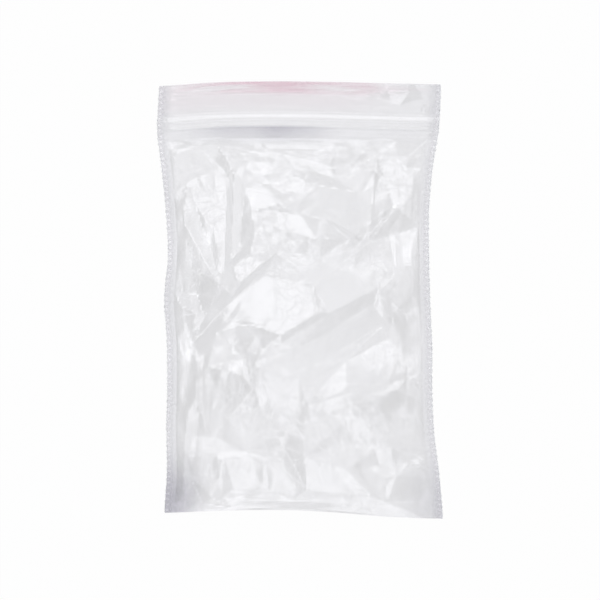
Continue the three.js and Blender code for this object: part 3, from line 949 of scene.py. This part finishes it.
class BAG_OT_zip(bpy.types.Operator):
    """Make the zip: a rib on the front film, and the two hooks on the back film that grip it"""

    bl_idname = "bag.zip"
    bl_label = "Make the zip"

    def execute(self, context):
        settings = context.scene.bag
        bag = Bag(settings)
        half = bag.zip_depth / 2
        top = half + bag.band_thickness - settings.film / MM - ZIP_CLEARANCE
        wide = bag.band / 2
        short = wide - FLANGE_CUT
        head = [(RIB_NECK, half), *RIB_HEAD]
        hook = ((HOOK_WALL[1], -half), *HOOK_TIP, (HOOK_WALL[0], -half))
        rib = ((-wide, top), (-wide, half), *[(-y, z) for y, z in head],
               *reversed(head), (short, half), (short, top))
        hooks = ((-wide, -top), (-wide, -half), *[(-y, z) for y, z in hook],
                 *reversed(hook), (short, -half), (short, -top))
        material = zip_material()
        for name, section in (("zip_rib", rib), ("zip_hooks", hooks)):
            piece = swept_bar(name, self.sections(bag, np.array(section)))
            piece.data.materials.append(material)
            finish_piece(piece, smooth_angle=ZIP_SMOOTH_ANGLE)
        return {"FINISHED"}

    def sections(self, bag, section):
        """The zip's section at stations across the bag, flatter where the side welds crush it."""
        u = np.linspace(END_GAP, 1 - END_GAP, ZIP_STATIONS)[:, None]
        v = 1 - (bag.zip_line - section[None, :, 0]) / bag.height
        x, y = bag.plan(u, v)
        z = bag.rim(v) + section[None, :, 1] * bag.flattening(u)
        return np.stack([x - bag.middle[0], y - bag.middle[1], z], axis=2)


class BAG_OT_weld_edges(bpy.types.Operator):
    """Make the melted beads along the cut sides, notched by the sealing bar"""

    bl_idname = "bag.weld_edges"
    bl_label = "Make the weld edges"

    def execute(self, context):
        settings = context.scene.bag
        bag = Bag(settings)
        material = bead_material()
        v = np.linspace(END_GAP, 1 - END_GAP, BEAD_STATIONS)
        run = v * bag.height
        tooth = 0.5 + 0.5 * np.cos(2 * np.pi * run / TOOTH_PITCH)
        ripple = 0.5 + 0.5 * np.cos(2 * np.pi * run / BEAD_RIPPLE_PITCH)
        size = BEAD_LEAST + BEAD_TOOTH * tooth ** 2 + BEAD_RIPPLE * ripple
        turn = np.linspace(0, 2 * np.pi, BEAD_CORNERS + 1)[:-1]
        for name, u, outward in (("weld_edge_left", 0.0, -1), ("weld_edge_right", 1.0, 1)):
            x, y = bag.plan(u, v)
            centre = x - bag.middle[0] + outward * BEAD_OVERHANG * size
            around_x = centre[:, None] + outward * size[:, None] * BEAD_WIDE * np.cos(turn)
            around_z = bag.rim(v)[:, None] + size[:, None] * BEAD_HIGH * np.sin(turn)
            along_y = np.repeat((y - bag.middle[1])[:, None], len(turn), axis=1)
            piece = swept_bar(name, np.stack([around_x, along_y, around_z], axis=2))
            piece.data.materials.append(material)
            finish_piece(piece)
        return {"FINISHED"}


class BAG_OT_stage(bpy.types.Operator):
    """Set the pale floor, the soft lamps and the camera above the bag"""

    bl_idname = "bag.stage"
    bl_label = "Set the stage"

    def execute(self, context):
        context.scene.view_settings.view_transform = "Standard"
        context.scene.cycles.transparent_max_bounces = MOST_FACES_THROUGH
        self.floor()
        self.lamps()
        self.camera()
        return {"FINISHED"}

    def floor(self):
        """A white floor, a little under the bag, on which a faint shadow falls."""
        bpy.ops.object.select_all(action="DESELECT")
        bpy.ops.mesh.primitive_plane_add(size=FLOOR_SIZE, location=(0, 0, -FLOOR_GAP))
        plane = bpy.context.object
        plane.name = "floor"
        m = new_material("white floor")
        rays = m.add("LightPath").socket.node.outputs
        seen = Socket(m, rays["Is Camera Ray"])
        seen = seen.most(Socket(m, rays["Is Glossy Ray"]))
        seen = seen.most(Socket(m, rays["Is Transmission Ray"]))
        paper = m.add("BsdfDiffuse", None, {"Color": (0.93, 0.93, 0.93, 1)})
        white = m.add("Emission", None, {"Color": (1, 1, 1, 1), "Strength": 1.0})
        blend = m.add("MixShader", None, {0: seen * FLOOR_WHITE, 1: paper, 2: white})
        plane.data.materials.append(m.finish(blend))

    def lamps(self):
        """A dim room with soft boxes round it, and soft lamps for the floor."""
        world = bpy.data.worlds.new("studio")
        bpy.context.scene.world = world
        n = Nodes(world)
        way = n.add("TexCoord")
        up = self.towards(n, way, (0, 0, 1)).most(0)
        side = self.towards(n, way, (0.6, 0.8, 0))
        glow = (ROOM_GLOW + ZENITH_GLOW * up ** 10 + SIDE_GLOW * side).most(LEAST_GLOW)
        for direction, reach, strength in SOFT_BOXES:
            near = self.towards(n, way, direction)
            outer = np.cos(np.radians(reach + BOX_EDGE))
            inner = np.cos(np.radians(reach - BOX_EDGE))
            box = near.step(outer, inner)
            glow = glow + strength * (0.55 * box + 0.45 * near.most(0) ** 18)
        glow = glow + HORIZON_GLOW * (1 - up) ** 6
        background = n.add("Background", None, {"Color": (0.97, 0.975, 1.0, 1), "Strength": glow})
        n.finish(background, "OutputWorld")
        for name, place, size, power in LAMPS:
            light = bpy.data.lights.new(name, "AREA")
            light.shape = "SQUARE"
            light.size = size
            light.energy = power
            lamp = bpy.data.objects.new(name, light)
            bpy.context.scene.collection.objects.link(lamp)
            lamp.location = place
            lamp.rotation_euler = (-Vector(place)).to_track_quat("-Z", "Y").to_euler()

    def towards(self, n, way, direction):
        """How far a direction in the room points towards the one given, from -1 to 1."""
        unit = Vector(direction).normalized()
        return n.add("VectorMath", {"operation": "DOT_PRODUCT"}, {0: way, 1: tuple(unit)}, output=1)

    def camera(self):
        """Straight above the bag, with a frame 214 mm wide on the floor."""
        data = bpy.data.cameras.new("camera")
        data.sensor_width = SENSOR_WIDTH
        data.lens = data.sensor_width * CAMERA_HEIGHT / (FRAME_PIXELS * PIXEL)
        camera = bpy.data.objects.new("camera", data)
        bpy.context.scene.collection.objects.link(camera)
        camera.location = (0, 0, CAMERA_HEIGHT)
        bpy.context.scene.camera = camera


class BAG_PT_panel(bpy.types.Panel):
    """Lists the bag's sizes and the steps that build it"""

    bl_label = "Zipper bag"
    bl_idname = "BAG_PT_panel"
    bl_space_type = "VIEW_3D"
    bl_region_type = "UI"
    bl_category = "Zipper bag"

    def draw(self, context):
        for name in BagSettings.__annotations__:
            self.layout.prop(context.scene.bag, name)
        for step in STEPS:
            self.layout.operator(step.bl_idname)


STEPS = (BAG_OT_film, BAG_OT_zip, BAG_OT_weld_edges, BAG_OT_stage)
CLASSES = (BagSettings, *STEPS, BAG_PT_panel)


def register():
    for item in CLASSES:
        bpy.utils.register_class(item)
    bpy.types.Scene.bag = PointerProperty(type=BagSettings)


def unregister():
    del bpy.types.Scene.bag
    for item in reversed(CLASSES):
        bpy.utils.unregister_class(item)


def main():
    register()
    bpy.ops.bag.film()
    bpy.ops.bag.zip()
    bpy.ops.bag.weld_edges()
    bpy.ops.bag.stage()


if __name__ == "__main__":
    main()
